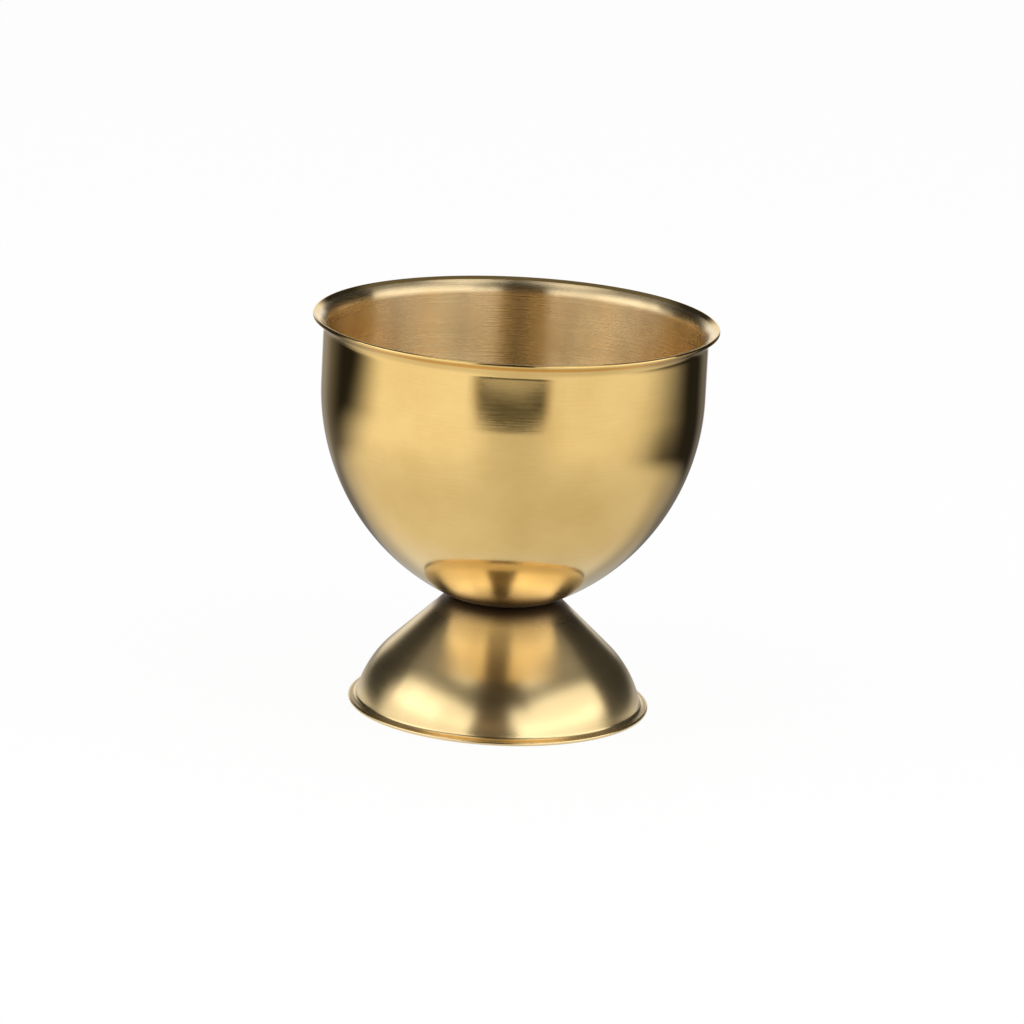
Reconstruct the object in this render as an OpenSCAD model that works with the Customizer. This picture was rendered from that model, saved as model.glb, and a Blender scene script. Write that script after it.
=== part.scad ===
// Egg cup made of two pressings of sheet steel: a round-bottomed bowl with a turned-out lip,
// and a hollow bell-shaped foot. The bowl's flat seat stands on the foot's flat crown, and
// spot welds join the two. Lengths are in millimetres and angles in degrees. +Z is up, along
// the axis that both pressings are turned about, and the foot's rim lies flat on z = 0.

/* [Cup] */
// Height of the whole cup, from the table to the top of the lip
cup_h = 50.4; // [44:0.2:60]
// Thickness of the sheet that both pressings are drawn from
sheet_t = 0.5; // [0.4:0.05:0.7]
// Diameter of the flat seat where the bowl stands on the foot
seat_d = 11.8; // [10.4:0.2:14]

/* [Bowl] */
// Outside diameter of the bowl's straight wall
bowl_d = 48.7; // [46:0.1:54]
// Share of the bowl's height that is straight wall
wall_share = 0.192; // [0.1:0.001:0.3]
// Radius of the bend between the flank below the wall and the flat seat
bottom_bend_r = 3; // [2:0.25:4]
// How far the lip stands out past the wall
lip_w = 1.35; // [1.1:0.05:3]
// Radius of the bend that turns the lip outwards
lip_bend_r = 1.5; // [1:0.1:2.1]
// Lean of the lip at its edge, measured from upright
lip_lean = 62; // [50:1:72]

/* [Foot] */
// Height of the foot, up to the crown that carries the bowl
foot_h = 14.3; // [13:0.1:16]
// Diameter of the foot's rim
base_d = 38.5; // [36:0.5:44]
// Radius of the bend round the crown
crown_bend_r = 3; // [2:0.25:4]
// Radius of the rounded shoulder between the upper cone and the skirt
shoulder_r = 13.5; // [6:0.5:14.5]
// Lean of the skirt below the shoulder, measured from upright
skirt_angle = 16; // [10:0.5:20]
// Length of the skirt's straight part
skirt_run = 0.3; // [0.1:0.1:2]
// Width of the rim's flat part, from the end of its bend to the outer edge
rim_w = 0.5; // [0.4:0.05:2]
// Radius of the bend between the skirt and the rim
rim_bend_r = 0.6; // [0.4:0.1:1]

/* [Spot welds] */
// Number of spot welds in the ring
weld_count = 3; // [2:1:4]
// Diameter of the ring that the welds stand on
weld_ring_d = 6.4; // [6:0.2:7.5]
// Diameter of each weld's nugget, half of it in each sheet
weld_d = 2; // [1.5:0.1:2.4]
// Diameter of the dent that the electrode leaves over each weld
dent_d = 2.8; // [2.5:0.1:3.2]

/* [Hidden] */
$fn = 96;

// How far the straight facets of an arc may lie from the true arc
chord_error = 0.005;
// How deep a nugget reaches into each sheet, and a dent into its face
nugget_depth_share = 0.5;
dent_depth_share = 0.14;
nugget_depth = nugget_depth_share * sheet_t;
dent_depth = dent_depth_share * sheet_t;

seat_r = seat_d / 2;
edge_r = sheet_t / 2;

// Each pressing is a path along one face of its sheet, from the axis to the edge. A step of the
// path is a straight run, then a bend of a radius through an angle. The sheet lies on the left
// of the path. A bend to the left has an angle above zero, and its centre lies on the left too.

// The bowl's path runs along its outer face. The lip bends outwards to its lean, and a short
// straight run takes it out to its full width. The flank is one arc, tangent to the upright wall
// and to the bottom bend, and it rises through the height that the other parts leave. That rise
// and the width that it draws in set its radius
bowl_h = cup_h - foot_h;
lip_reach = lip_w - edge_r * (1 - cos(lip_lean));
lip_run = (lip_reach - lip_bend_r * (1 - cos(lip_lean))) / sin(lip_lean);
lip_rise = lip_bend_r * sin(lip_lean) + lip_run * cos(lip_lean) + edge_r * (1 + sin(lip_lean));
wall_run = wall_share * bowl_h;
flank_rise = bowl_h - lip_rise - wall_run - bottom_bend_r;
flank_width = bowl_d / 2 - seat_r;
flank_r = (pow(flank_rise, 2) / (flank_width - bottom_bend_r) + flank_width + bottom_bend_r) / 2;
bottom_turn = atan2(flank_r - flank_width, flank_rise);
bowl_path = [
    [seat_r, bottom_bend_r, bottom_turn],
    [0, flank_r, 90 - bottom_turn],
    [wall_run, lip_bend_r, -lip_lean],
    [lip_run, 0, 0]
];

// The foot's path runs along its upper face, and is drawn upside down, with the way down as +Y.
// The cone is the line that touches the crown's bend and the shoulder
skirt_fall = 90 - skirt_angle;
rim_bend_centre = [base_d / 2 - rim_w, foot_h - sheet_t - rim_bend_r];
skirt_end = rim_bend_centre + rim_bend_r * left_of(skirt_fall);
skirt_start = skirt_end - skirt_run * heading(skirt_fall);
shoulder_centre = skirt_start + shoulder_r * left_of(skirt_fall);
crown_to_shoulder = shoulder_centre - [seat_r, crown_bend_r];
cone_run = sqrt(pow(norm(crown_to_shoulder), 2) - pow(shoulder_r - crown_bend_r, 2));
cone_fall = atan2(crown_to_shoulder[1], crown_to_shoulder[0]) - atan2(shoulder_r - crown_bend_r, cone_run);
foot_path = [
    [seat_r, crown_bend_r, cone_fall],
    [cone_run, shoulder_r, skirt_fall - cone_fall],
    [skirt_run, rim_bend_r, -skirt_fall],
    [rim_w - edge_r, 0, 0]
];

gold = [0.83, 0.67, 0.37];
weld_grey = [0.55, 0.54, 0.52];

function heading(angle) = [cos(angle), sin(angle)];
function left_of(angle) = [-sin(angle), cos(angle)];

// Places along a bend, each with the heading there. The first one is left out where the path
// already has it
function bend_places(start, angle, radius, turn, first) =
    let(
        centre = start + sign(turn) * radius * left_of(angle),
        count = ceil(abs(turn) / (2 * acos(1 - chord_error / radius)))
    )
    [for (i = [first : count])
        let(now = angle + turn * i / count)
        [centre - sign(turn) * radius * left_of(now), now]];

// Places along a path from one of its steps to its end
function path_places(path, start = [0, 0], angle = 0, step = 0) =
    step == len(path) ? [] :
    let(
        run = path[step][0],
        radius = path[step][1],
        turn = path[step][2],
        run_end = start + run * heading(angle),
        added = turn == 0 ? [[run_end, angle]]
            : bend_places(run_end, angle, radius, turn, run > 0 ? 0 : 1),
        last = added[len(added) - 1]
    )
    concat(added, path_places(path, last[0], last[1], step + 1));

// Section of the sheet along a path, with its edge rounded over the whole thickness
module sheet(path) {
    places = concat([[[0, 0], 0]], path_places(path));
    last = places[len(places) - 1];
    edge = bend_places(last[0], last[1], edge_r, 180, 1);
    polygon(concat(
        [for (place = places) place[0]],
        [for (place = edge) place[0]],
        [for (i = [len(places) - 2 : -1 : 0]) places[i][0] + sheet_t * left_of(places[i][1])]
    ));
}

// Copies a shape to each place in the ring of welds
module at_welds() {
    for (i = [0 : weld_count - 1])
        rotate(i * 360 / weld_count) translate([weld_ring_d / 2, 0, 0]) children();
}

// The nuggets, centred on the plane where the two sheets meet
module nuggets() {
    at_welds() translate([0, 0, foot_h - nugget_depth]) cylinder(d = weld_d, h = 2 * nugget_depth);
}

// The dents left by the electrodes, to be cut from a face at height z
module dents(z) {
    at_welds() translate([0, 0, z - dent_depth]) cylinder(d = dent_d, h = 2 * dent_depth);
}

module bowl() {
    color(gold) difference() {
        rotate_extrude() translate([0, foot_h]) sheet(bowl_path);
        nuggets();
        dents(foot_h + sheet_t);
    }
}

module foot() {
    color(gold) difference() {
        rotate_extrude() translate([0, foot_h]) mirror([0, 1]) sheet(foot_path);
        nuggets();
        dents(foot_h - sheet_t);
    }
}

module spot_welds() {
    color(weld_grey) nuggets();
}

bowl();
foot();
spot_welds();
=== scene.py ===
from math import atan2, cos, degrees, pi, radians, sin, sqrt

import bpy
from mathutils import Matrix, Vector


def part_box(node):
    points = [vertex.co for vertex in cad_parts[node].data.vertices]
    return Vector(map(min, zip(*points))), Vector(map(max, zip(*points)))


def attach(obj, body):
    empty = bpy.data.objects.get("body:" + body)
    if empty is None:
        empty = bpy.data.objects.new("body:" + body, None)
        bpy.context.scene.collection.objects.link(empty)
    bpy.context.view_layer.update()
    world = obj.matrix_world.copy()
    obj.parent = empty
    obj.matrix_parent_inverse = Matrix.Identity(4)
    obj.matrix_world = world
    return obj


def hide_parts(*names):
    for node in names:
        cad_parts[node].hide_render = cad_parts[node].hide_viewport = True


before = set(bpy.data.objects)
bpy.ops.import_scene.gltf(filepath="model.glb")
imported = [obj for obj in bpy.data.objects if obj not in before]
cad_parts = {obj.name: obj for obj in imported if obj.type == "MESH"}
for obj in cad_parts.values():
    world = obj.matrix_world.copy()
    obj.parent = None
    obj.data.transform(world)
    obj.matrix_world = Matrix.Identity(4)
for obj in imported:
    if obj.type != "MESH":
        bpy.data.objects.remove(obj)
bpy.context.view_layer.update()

# Egg cup of two brassy pressings, a bowl and a bell foot, spot-welded seat to crown. Sizes are
# in millimetres where they aren't named otherwise, and points become metres when placed
mm = 0.001
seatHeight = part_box("bowl")[0].z / mm         # where the bowl stands on the foot's crown
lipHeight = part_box("bowl")[1].z / mm
sheetThickness = 0.5
seatRadius = 5.9

# How finely a section is stepped
turnSteps = 240                               # steps of a full turn when a section is spun
edgeSteps = 10                                # steps round the sheet's free edge
runStep = 0.3                                 # about the step along a straight run
arcStep = 0.48                                # about the longest step along a bend
mergeWithin = 0.002                           # points closer than this become one


def heading(angle):
    return Vector((cos(angle), 0, sin(angle)))


def leftOf(angle):
    return Vector((-sin(angle), 0, cos(angle)))


def walkPath(steps, start, widestTurn):
    # places along a path of (straight run, bend radius, turn), each with the heading there.
    # It sets out along +X, and each step of a bend turns by about widestTurn or less
    here, angle = start, 0
    places = [(here, angle)]
    for run, radius, turn in steps:
        count = max(1, round(run / runStep)) if run else 0
        for i in range(count):
            places.append((here + heading(angle) * run * (i + 1) / count, angle))
        here = here + heading(angle) * run
        if radius:
            side = 1 if turn > 0 else -1
            centre = here + leftOf(angle) * radius * side
            count = max(2, round(abs(turn) / min(widestTurn, arcStep / radius)))
            for i in range(count):
                now = angle + turn * (i + 1) / count
                places.append((centre - leftOf(now) * radius * side, now))
            here, angle = places[-1]
    return places


def sheetOutline(places):
    # closed section of a sheet that lies on the left of a path, round at its free edge
    last, angle = places[-1]
    centre = last + leftOf(angle) * sheetThickness / 2
    edge = []
    for i in range(1, edgeSteps):
        edge.append(centre - leftOf(angle + pi * i / edgeSteps) * sheetThickness / 2)
    back = [place + leftOf(now) * sheetThickness for place, now in reversed(places)]
    return [place for place, now in places] + edge + back


def deselect():
    if bpy.context.object and bpy.context.object.mode != "OBJECT":
        bpy.ops.object.mode_set(mode="OBJECT")
    bpy.ops.object.select_all(action="DESELECT")


def pick(piece, test):
    # selects the faces whose centre and normal pass a test, and goes to edit mode
    bpy.ops.object.mode_set(mode="EDIT")
    bpy.ops.mesh.select_mode(type="FACE")
    bpy.ops.mesh.select_all(action="DESELECT")
    bpy.ops.object.mode_set(mode="OBJECT")
    for face in piece.data.polygons:
        face.select = test(face.center / mm, face.normal)
    bpy.ops.object.mode_set(mode="EDIT")


def spinSheet(name, outline):
    # a point on the axis is extruded along the outline, and the line is spun into a shell
    deselect()
    bpy.ops.mesh.primitive_plane_add(size=mm, location=outline[0] * mm)
    piece = bpy.context.object
    piece.name = piece.data.name = name
    bpy.ops.object.mode_set(mode="EDIT")
    bpy.ops.mesh.select_mode(type="VERT")
    bpy.ops.mesh.select_all(action="SELECT")
    bpy.ops.mesh.merge(type="CENTER")
    for before, after in zip(outline, outline[1:]):
        move = tuple((after - before) * mm)
        bpy.ops.mesh.extrude_region_move(TRANSFORM_OT_translate={"value": move})
    bpy.ops.mesh.select_all(action="SELECT")
    bpy.ops.mesh.spin(steps=turnSteps, angle=2 * pi, center=(0, 0, 0), axis=(0, 0, 1))
    bpy.ops.mesh.select_all(action="SELECT")
    bpy.ops.mesh.remove_doubles(threshold=mergeWithin * mm)
    bpy.ops.mesh.normals_make_consistent(inside=False)
    bpy.ops.object.mode_set(mode="OBJECT")
    bpy.ops.object.transform_apply(location=True, rotation=True, scale=True)
    bpy.ops.object.shade_smooth()
    return piece


weld = dict(count=3, ringRadius=3.2,
            nuggetRadius=1.0, pocketDepth=0.25, pocketSides=48,
            dentRadius=1.4, dentDepth=0.07, dentFlatRadius=0.9,
            heightSlack=0.02, leastFacing=0.9)         # what counts as the flat face
weldPlaces = [Matrix.Rotation(2 * pi * i / weld["count"], 3, "Z") @
              Vector((weld["ringRadius"], 0, 0)) for i in range(weld["count"])]


def pressDents(piece, height, upwards):
    # the electrodes' dents, pressed softly into the flat face at a height
    side = 1 if upwards else -1
    for spot in weldPlaces:
        pick(piece, lambda centre, normal: abs(centre.z - height) < weld["heightSlack"]
             and normal.z * side > weld["leastFacing"]
             and (centre - spot).to_2d().length < weld["dentFlatRadius"])
        bpy.ops.transform.translate(
            value=(0, 0, -side * weld["dentDepth"] * mm), use_proportional_edit=True,
            proportional_edit_falloff="SMOOTH", use_proportional_connected=True,
            proportional_size=(weld["dentRadius"] - weld["dentFlatRadius"]) * mm)
        bpy.ops.object.mode_set(mode="OBJECT")


def cutPockets(piece):
    # round pockets for the nuggets, in the hidden faces where the sheets meet
    for spot in weldPlaces:
        deselect()
        bpy.ops.mesh.primitive_cylinder_add(
            vertices=weld["pocketSides"], radius=weld["nuggetRadius"] * mm,
            depth=2 * weld["pocketDepth"] * mm,
            location=(spot.x * mm, spot.y * mm, seatHeight * mm))
        cutter = bpy.context.object
        deselect()
        piece.select_set(True)
        bpy.context.view_layer.objects.active = piece
        cut = piece.modifiers.new("pocket", "BOOLEAN")
        cut.operation = "DIFFERENCE"
        cut.solver = "EXACT"
        cut.object = cutter
        bpy.ops.object.modifier_apply(modifier=cut.name)
        bpy.data.objects.remove(cutter)


bowl = dict(wallRadius=24.35, wallShare=0.192, bottomBend=3.0,
            lipWidth=1.35, lipBend=1.5, lipLean=radians(62), widestTurn=radians(4))


def makeBowl():
    # the flank is one arc, from the bottom bend up to the wall and tangent to both
    edge, lean, bend = sheetThickness / 2, bowl["lipLean"], bowl["bottomBend"]
    lipReach = bowl["lipWidth"] - edge * (1 - cos(lean))
    lipRun = (lipReach - bowl["lipBend"] * (1 - cos(lean))) / sin(lean)
    lipRise = bowl["lipBend"] * sin(lean) + lipRun * cos(lean) + edge * (1 + sin(lean))
    height = lipHeight - seatHeight
    wallRun = bowl["wallShare"] * height
    rise = height - lipRise - wallRun - bend
    width = bowl["wallRadius"] - seatRadius
    flank = (rise ** 2 / (width - bend) + width + bend) / 2
    bottomTurn = atan2(flank - width, rise)
    places = walkPath([(seatRadius, bend, bottomTurn),
                       (0, flank, pi / 2 - bottomTurn),
                       (wallRun, bowl["lipBend"], -lean),
                       (lipRun, 0, 0)],
                      Vector((0, 0, seatHeight)), bowl["widestTurn"])
    piece = spinSheet("bowl_pressing", sheetOutline(places))
    pressDents(piece, seatHeight + sheetThickness, upwards=True)
    cutPockets(piece)
    return piece


foot = dict(rimRadius=19.25, crownBend=3.0, shoulder=13.5, skirtAngle=radians(16),
            skirtRun=0.3, rimFlat=0.5, rimBend=0.6, widestTurn=radians(5))


def makeFoot():
    # drawn downwards, along the upper face from the crown to the rim. The cone is the line
    # that touches the crown's bend and the shoulder
    fall = pi / 2 - foot["skirtAngle"]
    rimCentre = Vector((foot["rimRadius"] - foot["rimFlat"], 0,
                        seatHeight - sheetThickness - foot["rimBend"]))
    shoulder, crown = foot["shoulder"], foot["crownBend"]
    skirtTop = rimCentre + leftOf(fall) * foot["rimBend"] - heading(fall) * foot["skirtRun"]
    across = skirtTop + leftOf(fall) * shoulder - Vector((seatRadius, 0, crown))
    coneRun = sqrt(across.length ** 2 - (shoulder - crown) ** 2)
    coneFall = atan2(across.z, across.x) - atan2(shoulder - crown, coneRun)
    places = walkPath([(seatRadius, crown, coneFall),
                       (coneRun, shoulder, fall - coneFall),
                       (foot["skirtRun"], foot["rimBend"], -fall),
                       (foot["rimFlat"] - sheetThickness / 2, 0, 0)],
                      Vector((0, 0, 0)), foot["widestTurn"])
    outline = sheetOutline(places)
    for point in outline:
        point.z = seatHeight - point.z
    piece = spinSheet("foot_pressing", outline)
    pressDents(piece, seatHeight - sheetThickness, upwards=False)
    cutPockets(piece)
    return piece


class Signal:
    # wraps a socket, so that sums of sockets and numbers add their Math nodes
    def __init__(self, tree, socket=None):
        self.tree = tree
        self.socket = socket

    def node(self, kind, settings=None, values=None, output=0):
        made = self.tree.nodes.new(kind)
        for key, value in (settings or {}).items():
            setattr(made, key, value)
        for key, value in (values or {}).items():
            if isinstance(value, Signal):
                self.tree.links.new(value.socket, made.inputs[key])
            else:
                made.inputs[key].default_value = value
        return Signal(self.tree, made.outputs[output] if len(made.outputs) else None)

    def beside(self, name):
        # another output of the same node
        return Signal(self.tree, self.socket.node.outputs[name])

    def maths(self, operation, first, second=0.0):
        return self.node("ShaderNodeMath", {"operation": operation}, {0: first, 1: second})

    def __add__(self, other):
        return self.maths("ADD", self, other)

    def __radd__(self, other):
        return self.maths("ADD", other, self)

    def __sub__(self, other):
        return self.maths("SUBTRACT", self, other)

    def __rsub__(self, other):
        return self.maths("SUBTRACT", other, self)

    def __mul__(self, other):
        return self.maths("MULTIPLY", self, other)

    def __rmul__(self, other):
        return self.maths("MULTIPLY", other, self)

    def __truediv__(self, other):
        return self.maths("DIVIDE", self, other)

    def __pow__(self, other):
        return self.maths("POWER", self, other)

    def fade(self, low, high):
        # 0 below low and 1 above high, with soft ends
        return self.node("ShaderNodeMapRange", {"interpolation_type": "SMOOTHSTEP"},
                         {"Value": self, "From Min": low, "From Max": high})

    def tint(self, first, second):
        # a colour between two, by this signal
        return self.node("ShaderNodeMix", {"data_type": "RGBA"},
                         {0: self, 6: first, 7: second}, output=2)

    def axes(self, names="XYZ"):
        # the parts of a vector along the named axes
        parts = self.node("ShaderNodeSeparateXYZ", values={"Vector": self})
        return [parts.beside(name) for name in names]

    def noise(self, scale, detail, roughness):
        return self.node("ShaderNodeTexNoise", values={
            "Vector": self, "Scale": scale, "Detail": detail, "Roughness": roughness})

    def bump(self):
        # a normal from this height in millimetres
        return self.node("ShaderNodeBump", values={
            "Height": self, "Strength": 1.0, "Distance": mm})


def rgb(red, green, blue):
    return (red, green, blue, 1.0)


white = rgb(1, 1, 1)


def newMaterial(name):
    material = bpy.data.materials.new(name)
    material.use_nodes = True
    material.node_tree.nodes.clear()
    return material, Signal(material.node_tree)


def objectPlace(start):
    return start.node("ShaderNodeTexCoord", output="Object")


def seenBy(start):
    # 1 for what the camera sees, and 1 for what a mirror sees
    paths = start.node("ShaderNodeLightPath")
    return paths.beside("Is Camera Ray"), paths.beside("Is Glossy Ray")


# What the plating has in common everywhere. A pair is where a change starts and ends, and a
# noise is its scale, detail and roughness
plate = dict(ringNoise=(1.0, 3.0, 0.6), cloudNoise=(140.0, 4.0, 0.55),
             grainNoise=(2600.0, 2.0, 0.6), toneEnds=(0.3, 0.7), noiseMiddle=0.5,
             # this line and the next: where the joint is, and a dark ring of painted shade in the
             # crease round it
             jointRadius=7.0, creaseShadeEnds=(1.2, 3.8), creaseShadeWander=1.2, creaseShadeShare=0.92,
             creaseShadeRoughness=0.25, creaseShadeColour=(0.1, 0.06, 0.03),
             # painted shade on the foot under the bowl
             shadeUnderBowlEnds=(2.2, 6.2), shadeUnderBowlColour=(0.3, 0.2, 0.1),
             # a painted reflection that makes the bowl's outside paler low down
             lowEnds=(15, 27), lowReflectionColour=(0.93, 0.82, 0.58))


def brass(name, look):
    # gold-coloured plate on pressed steel, with the fine rings that the polishing leaves
    material, start = newMaterial(name)
    place = objectPlace(start)
    x, y, z = (part * (1 / mm) for part in place.axes())
    radius = (x * x + y * y) ** 0.5
    along = start.maths("ARCTAN2", y, x)
    # rings: a noise that is dense down the section and long round the axis
    ringPlace = start.node("ShaderNodeCombineXYZ", values={
        "X": start.maths("COSINE", along) * look["ringLength"],
        "Y": start.maths("SINE", along) * look["ringLength"],
        "Z": (z + radius * look["climb"]) * look["ringScale"]})
    rings = ringPlace.noise(*plate["ringNoise"])
    clouds = place.noise(*plate["cloudNoise"])
    grain = place.noise(*plate["grainNoise"])
    tone = (clouds * (1 - look["ringTone"]) + rings * look["ringTone"]).fade(*plate["toneEnds"])
    colour = tone.tint(rgb(*look["deep"]), rgb(*look["bright"]))
    # paler towards the bottom of the bowl's outside: a painted reflection of the foot's bright
    # light, which the lower bowl mirrors
    low = 1 - z.fade(*plate["lowEnds"])
    colour = (low * look["lowPaintedReflection"]).tint(colour, rgb(*plate["lowReflectionColour"]))
    # painted shade: the foot's cone darkens just under the bowl, as where it mirrors the bowl's dark
    # underside, and a dark ring of painted shade lies in the crease round the joint
    fromJoint = ((radius - plate["jointRadius"]) ** 2.0 + (z - seatHeight) ** 2.0) ** 0.5
    shadeUnderBowl = 1 - fromJoint.fade(*plate["shadeUnderBowlEnds"])
    colour = (shadeUnderBowl * look["shadeUnderBowl"]).tint(colour, rgb(*plate["shadeUnderBowlColour"]))
    # a dark ring of painted shade in the crease round the joint, blotchy at its edge and a little
    # rougher
    wandering = fromJoint + clouds * plate["creaseShadeWander"]
    creaseShade = (1 - wandering.fade(*plate["creaseShadeEnds"])) * look["creaseShade"]
    colour = (creaseShade * plate["creaseShadeShare"]).tint(colour, rgb(*plate["creaseShadeColour"]))
    roughness = look["roughness"] + creaseShade * plate["creaseShadeRoughness"] + \
        low * look["lowRoughness"] + (rings - plate["noiseMiddle"]) * look["ringRoughness"] + \
        (clouds - plate["noiseMiddle"]) * look["cloudRoughness"]
    height = rings * look["ringBump"] + grain * look["grainBump"] + clouds * look["waveBump"]
    shader = start.node("ShaderNodeBsdfPrincipled", values={
        "Base Color": colour, "Metallic": 1.0, "Roughness": roughness,
        "Anisotropic": look["anisotropic"], "Anisotropic Rotation": look["anisotropicTurn"],
        "Normal": height.bump()})
    start.node("ShaderNodeOutputMaterial", values={"Surface": shader})
    return material


outsideLook = dict(
    deep=(0.78, 0.53, 0.19), bright=(0.86, 0.6, 0.235),      # the two tones of the coating
    climb=1.0,                   # 1 on a section that widens upwards, -1 on one that narrows
    ringScale=9.0, ringLength=5.0,          # noise cells to a millimetre, and to the radius round
    ringTone=0.3, ringRoughness=0.05, ringBump=0.0008,
    cloudRoughness=0.05, grainBump=0.0003, waveBump=0.004,
    roughness=0.075, anisotropic=0.4, anisotropicTurn=0.25,
    # this line: how much painted reflection and roughness low on the bowl, painted shade under the
    # bowl and painted shade in the crease round the joint
    lowPaintedReflection=0.7, lowRoughness=0.09, shadeUnderBowl=0.0, creaseShade=1.0)
# the insides have brighter, paler tones than the outside of the same plate: painted light, which
# makes them look more lit
insideLook = dict(
    outsideLook, deep=(0.85, 0.655, 0.37), bright=(0.99, 0.79, 0.475),
    ringScale=4.5, ringLength=1.3, ringTone=0.45, ringRoughness=0.04, ringBump=0.003,
    cloudRoughness=0.03, grainBump=0.0, waveBump=0.002,
    roughness=0.27, anisotropic=1.0, lowPaintedReflection=0.0, lowRoughness=0.0, creaseShade=0.0)
footLook = dict(
    outsideLook, deep=(0.86, 0.65, 0.325), bright=(0.94, 0.72, 0.375), climb=-1.0,
    ringScale=5.0, ringLength=2.0, ringBump=0.002,
    # the foot gets painted shade under the bowl
    roughness=0.25, anisotropic=0.5, lowPaintedReflection=0.0, lowRoughness=0.0, shadeUnderBowl=0.45)

weldLook = dict(dark=(0.27, 0.25, 0.23), pale=(0.42, 0.4, 0.37), noise=(900.0, 4.0, 0.6),
                toneEnds=(0.35, 0.65), roughness=0.35, mottleRoughness=0.3, bump=0.02)


def weldSteel(name, look):
    material, start = newMaterial(name)
    mottle = objectPlace(start).noise(*look["noise"])
    shader = start.node("ShaderNodeBsdfPrincipled", values={
        "Base Color": mottle.fade(*look["toneEnds"]).tint(rgb(*look["dark"]), rgb(*look["pale"])),
        "Metallic": 1.0, "Roughness": look["roughness"] + mottle * look["mottleRoughness"],
        "Normal": (mottle * look["bump"]).bump()})
    start.node("ShaderNodeOutputMaterial", values={"Surface": shader})
    return material


inside = dict(leastUp=0.02, leastInwards=0.5, lipRadius=24)


def isInBowl(centre, normal):
    # faces that look up within the lip's bend, or across at the axis
    inwards = -Vector((centre.x, centre.y, 0)).normalized()
    upFacing = normal.z > inside["leastUp"] and centre.to_2d().length < inside["lipRadius"]
    return upFacing or normal.dot(inwards) > inside["leastInwards"]


def isUnderFoot(centre, normal):
    return normal.z < -inside["leastUp"]


def dress(piece, outer, inner, isInside):
    piece.data.materials.clear()
    piece.data.materials.append(outer)
    piece.data.materials.append(inner)
    for face in piece.data.polygons:
        face.material_index = 1 if isInside(face.center / mm, face.normal) else 0


bowlPiece = makeBowl()
dress(bowlPiece, brass("bowl_outside", outsideLook), brass("bowl_inside", insideLook), isInBowl)
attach(bowlPiece, "root")
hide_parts("bowl")
print("bowl:", len(bowlPiece.data.polygons), "faces")

footPiece = makeFoot()
dress(footPiece, brass("foot_outside", footLook), brass("foot_inside", insideLook), isUnderFoot)
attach(footPiece, "root")
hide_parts("foot")
print("foot:", len(footPiece.data.polygons), "faces")

weldFinish = weldSteel("weld_metal", weldLook)
for slot in bpy.data.objects["spot_welds"].material_slots:
    slot.material = weldFinish
print("spot welds: finished")


camera = dict(rise=0.25725379, roll=0.05001762,       # radians
              distance=649.5, target=25,              # from a target at this height on the axis
              pixelsPerMm=7.856898,                   # at the target
              offsetPixels=(-4.9096, 1.6056),         # of the target from the picture's middle
              framePixels=1024, sensor=36, clipStart=10, clipEnd=20000)


def addCamera():
    data = bpy.data.cameras.new("photo_camera")
    thing = bpy.data.objects.new("photo_camera", data)
    bpy.context.scene.collection.objects.link(thing)
    rise, distance, frameSize = camera["rise"], camera["distance"], camera["framePixels"]
    thing.location = Vector((0, -distance * cos(rise), camera["target"] + distance * sin(rise))) * mm
    turn = Matrix.Rotation(pi / 2 - rise, 3, "X") @ Matrix.Rotation(camera["roll"], 3, "Z")
    thing.rotation_euler = turn.to_euler()
    data.sensor_width = camera["sensor"]
    data.lens = camera["pixelsPerMm"] * distance / frameSize * camera["sensor"]
    data.shift_x = -camera["offsetPixels"][0] / frameSize
    data.shift_y = camera["offsetPixels"][1] / frameSize
    data.clip_start = camera["clipStart"] * mm
    data.clip_end = camera["clipEnd"] * mm
    bpy.context.scene.camera = thing


def azimuthOf(start, x, y):
    # degrees round the axis from the camera's side, above zero on the right
    return start.maths("ARCTAN2", x, y * -1) * degrees(1)


# The floor, and how bright mirrors see it, by place in millimetres and azimuth in degrees. A
# pair is where a change starts and ends
floorLook = dict(
    radius=3000, sides=96, shade=0.85, cameraShare=0.9, cameraGlow=1.02,
    middle=(-30, 30), rightSlope=0.75, rightEdge=(-260, -10), rightTurn=(58, 100),
    leftSlope=0.3, leftEdge=(15, 130), leftTurn=(-140, -82),
    front=1.08, frontDrop=0.1, frontTurn=(-40, 40), closeDrop=0.25, closeReach=(40, 130),
    stripeDrop=0.29, stripeTurn=(4, 34), stripePull=4, stripePullTurn=(-20, 10),
    far=0.02, farSide=0.14, farSideTurn=(134, 150), farBack=0.72, farBackTurn=(156, 168),
    farLeft=0.16, farLeftTurn=(-144, -116),
    near=0.74, nearReach=(74, 102), nearDrop=0.32, nearTurn=(88, 117),
    grazingDrop=0.24, grazingTurn=(112, 140), grazingReach=(36, 58))


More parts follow.
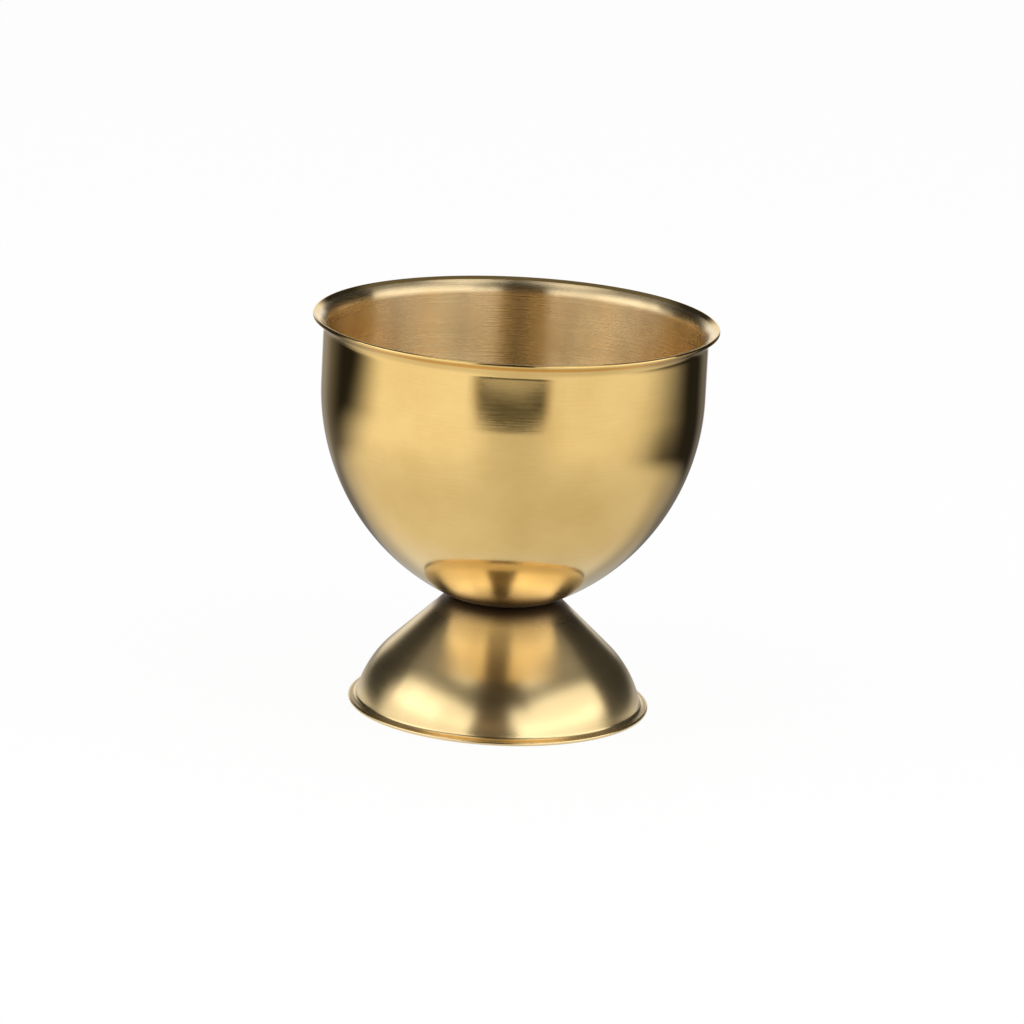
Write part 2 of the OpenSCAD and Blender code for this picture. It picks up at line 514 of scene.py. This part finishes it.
def mirroredFloor(start, look):
    x, y = (part * (1 / mm) for part in objectPlace(start).axes("XY"))
    azimuth = azimuthOf(start, x, y)
    turned = start.maths("ABSOLUTE", azimuth)
    reach = (x * x + y * y) ** 0.5
    # lit in front of the cup, up to an edge on each side
    onRight = x.fade(*look["middle"])
    dimRight = (y - x * look["rightSlope"]).fade(*look["rightEdge"]) * \
        azimuth.fade(*look["rightTurn"])
    litLeft = (1 - (y - x * look["leftSlope"]).fade(*look["leftEdge"])) * \
        azimuth.fade(*look["leftTurn"])
    lit = 1 - onRight * dimRight - (1 - onRight) * (1 - litLeft)
    # a dimmer stripe straight in front, and a dimmer place close to the foot
    pulled = turned + (1 - azimuth.fade(*look["stripePullTurn"])) * look["stripePull"]
    stripe = 1 - pulled.fade(*look["stripeTurn"])
    closeBy = (1 - reach.fade(*look["closeReach"])) * (1 - stripe)
    front = look["front"] - azimuth.fade(*look["frontTurn"]) * look["frontDrop"] - \
        stripe * look["stripeDrop"] - closeBy * look["closeDrop"]
    # dark behind the cup, but for its back, its left and what is close to the foot
    far = look["far"] + turned.fade(*look["farSideTurn"]) * look["farSide"] + \
        turned.fade(*look["farBackTurn"]) * look["farBack"] + \
        (1 - azimuth.fade(*look["farLeftTurn"])) * look["farLeft"]
    grazing = turned.fade(*look["grazingTurn"]) * reach.fade(*look["grazingReach"])
    near = look["near"] - turned.fade(*look["nearTurn"]) * look["nearDrop"] - \
        grazing * look["grazingDrop"]
    behind = far + (1 - reach.fade(*look["nearReach"])) * (near - far)
    return lit * front + (1 - lit) * behind


def addFloor(look):
    # pale paper. The camera sees it nearly white, with the cup's shadow
    deselect()
    bpy.ops.mesh.primitive_circle_add(vertices=look["sides"], radius=look["radius"] * mm,
                                      fill_type="NGON")
    thing = bpy.context.object
    thing.name = "floor"
    material, start = newMaterial("floor_paper")
    seen, glossy = seenBy(start)
    strength = look["cameraGlow"] + glossy * (mirroredFloor(start, look) - look["cameraGlow"])
    paper = start.node("ShaderNodeBsdfDiffuse", values={"Color": rgb(*[look["shade"]] * 3)})
    glow = start.node("ShaderNodeEmission", values={"Color": white, "Strength": strength})
    share = seen * look["cameraShare"] + glossy
    mixed = start.node("ShaderNodeMixShader", values={0: share, 1: paper, 2: glow})
    start.node("ShaderNodeOutputMaterial", values={"Surface": mixed})
    thing.data.materials.append(material)


# The room that mirrors see, by azimuth in degrees and by the sine of the elevation
roomLook = dict(
    glow=0.7, least=0.03,
    rightDark=(84, 108), rightBright=(158, 168), leftDark=(-161, -148), leftBright=(-118, -98),
    wallTop=(0.31, 0.47), backLower=0.1, backTurn=(150, 165),
    ceilingRise=(0.56, 0.68), ceiling=0.03, ceilingSide=0.09, ceilingTurn=(20, 50),
    topRise=(0.84, 0.94), top=1.15, topTurn=(28, 54), topBackTurn=(136, 150))


def addWorld(look):
    # white for the camera, a plain glow for what lights the cup, and the room for mirrors
    world = bpy.data.worlds.new("studio_world")
    world.use_nodes = True
    world.node_tree.nodes.clear()
    start = Signal(world.node_tree)
    seen, glossy = seenBy(start)
    x, y, up = start.node("ShaderNodeTexCoord", output="Generated").axes()
    azimuth = azimuthOf(start, x, y)
    turned = start.maths("ABSOLUTE", azimuth)
    sides = azimuth.fade(*look["rightDark"]) - azimuth.fade(*look["rightBright"]) + \
        azimuth.fade(*look["leftDark"]) - azimuth.fade(*look["leftBright"])
    lowered = up + turned.fade(*look["backTurn"]) * look["backLower"]
    wall = (1 - sides) * (1 - lowered.fade(*look["wallTop"]))
    ceiling = look["ceiling"] + turned.fade(*look["ceilingTurn"]) * look["ceilingSide"]
    top = (turned.fade(*look["topTurn"]) - turned.fade(*look["topBackTurn"])) * look["top"]
    room = look["least"] + (1 - look["least"]) * wall + \
        up.fade(*look["ceilingRise"]) * ceiling + up.fade(*look["topRise"]) * top
    light = seen + (1 - seen) * (glossy * room + (1 - glossy) * look["glow"])
    sky = start.node("ShaderNodeBackground", values={"Color": white, "Strength": light})
    start.node("ShaderNodeOutputWorld", values={"Surface": sky})
    bpy.context.scene.world = world


# Azimuth and rise in degrees, from the middle of the cup
softBoxes = dict(
    soft_box_left=dict(azimuth=-61, rise=30, distance=620, width=940, height=260, radiance=1.18),
    soft_box_core=dict(azimuth=-70, rise=24, distance=600, width=340, height=200, radiance=0.5),
    soft_box_right=dict(azimuth=59, rise=30, distance=620, width=1080, height=360, radiance=1.15))


def addSoftBox(name, look):
    # a soft box at an azimuth from the camera's side, turned to the cup
    data = bpy.data.lights.new(name, "AREA")
    data.shape = "RECTANGLE"
    data.size, data.size_y = look["width"] * mm, look["height"] * mm
    data.energy = look["radiance"] * pi * data.size * data.size_y
    thing = bpy.data.objects.new(name, data)
    bpy.context.scene.collection.objects.link(thing)
    side, rise = radians(look["azimuth"]), radians(look["rise"])
    way = Vector((cos(rise) * sin(side), -cos(rise) * cos(side), sin(rise)))
    thing.location = (Vector((0, 0, camera["target"])) + way * look["distance"]) * mm
    thing.rotation_euler = (-way).to_track_quat("-Z", "Y").to_euler()
    thing.visible_camera = False


# Dark cards in front of the cup. Soft is the share of the width where the edges lighten
upright = dict(away=192, shade=0.01, soft=0.05, edgeGlow=0.3, edgeTint=(1, 0.75, 0.5))
cards = dict(
    low_card=dict(upright, away=190, left=-90, right=86, low=0.5, high=7.2, soft=0.4, edgeGlow=0.9),
    middle_card=dict(upright, left=-80, right=60, low=11, high=60),
    skirt_card=dict(upright, left=-72, right=36, low=60, high=84, shade=0.3),
    upper_card=dict(upright, left=-66, right=36, low=84, high=170, shade=0.06),
    tall_card=dict(upright, left=-76, right=112, low=170, high=600))


def addCard(name, look):
    # an upright card that only mirrors see
    width, height = look["right"] - look["left"], look["high"] - look["low"]
    middle = Vector((look["left"] + width / 2, -look["away"], look["low"] + height / 2))
    deselect()
    bpy.ops.mesh.primitive_plane_add(size=1, location=middle * mm, rotation=(pi / 2, 0, 0))
    thing = bpy.context.object
    thing.name = thing.data.name = name
    thing.scale = (width * mm, height * mm, 1)
    bpy.ops.object.transform_apply(location=True, rotation=True, scale=True)
    material, start = newMaterial(name)
    across = (objectPlace(start).axes("X")[0] - middle.x * mm) / (width * mm / 2)
    side = start.maths("ABSOLUTE", across).fade(1 - look["soft"], 1)
    glow = start.node("ShaderNodeEmission", values={
        "Color": side.tint(rgb(*look["edgeTint"]), white),
        "Strength": look["shade"] + side * look["edgeGlow"]})
    start.node("ShaderNodeOutputMaterial", values={"Surface": glow})
    thing.data.materials.append(material)
    for kind in ("camera", "diffuse", "transmission", "volume_scatter", "shadow"):
        setattr(thing, "visible_" + kind, False)


addCamera()
addFloor(floorLook)
addWorld(roomLook)
for name, look in softBoxes.items():
    addSoftBox(name, look)
for name, look in cards.items():
    addCard(name, look)
bpy.context.scene.view_settings.view_transform = "Standard"
print("studio: camera, floor, world, lights and cards")
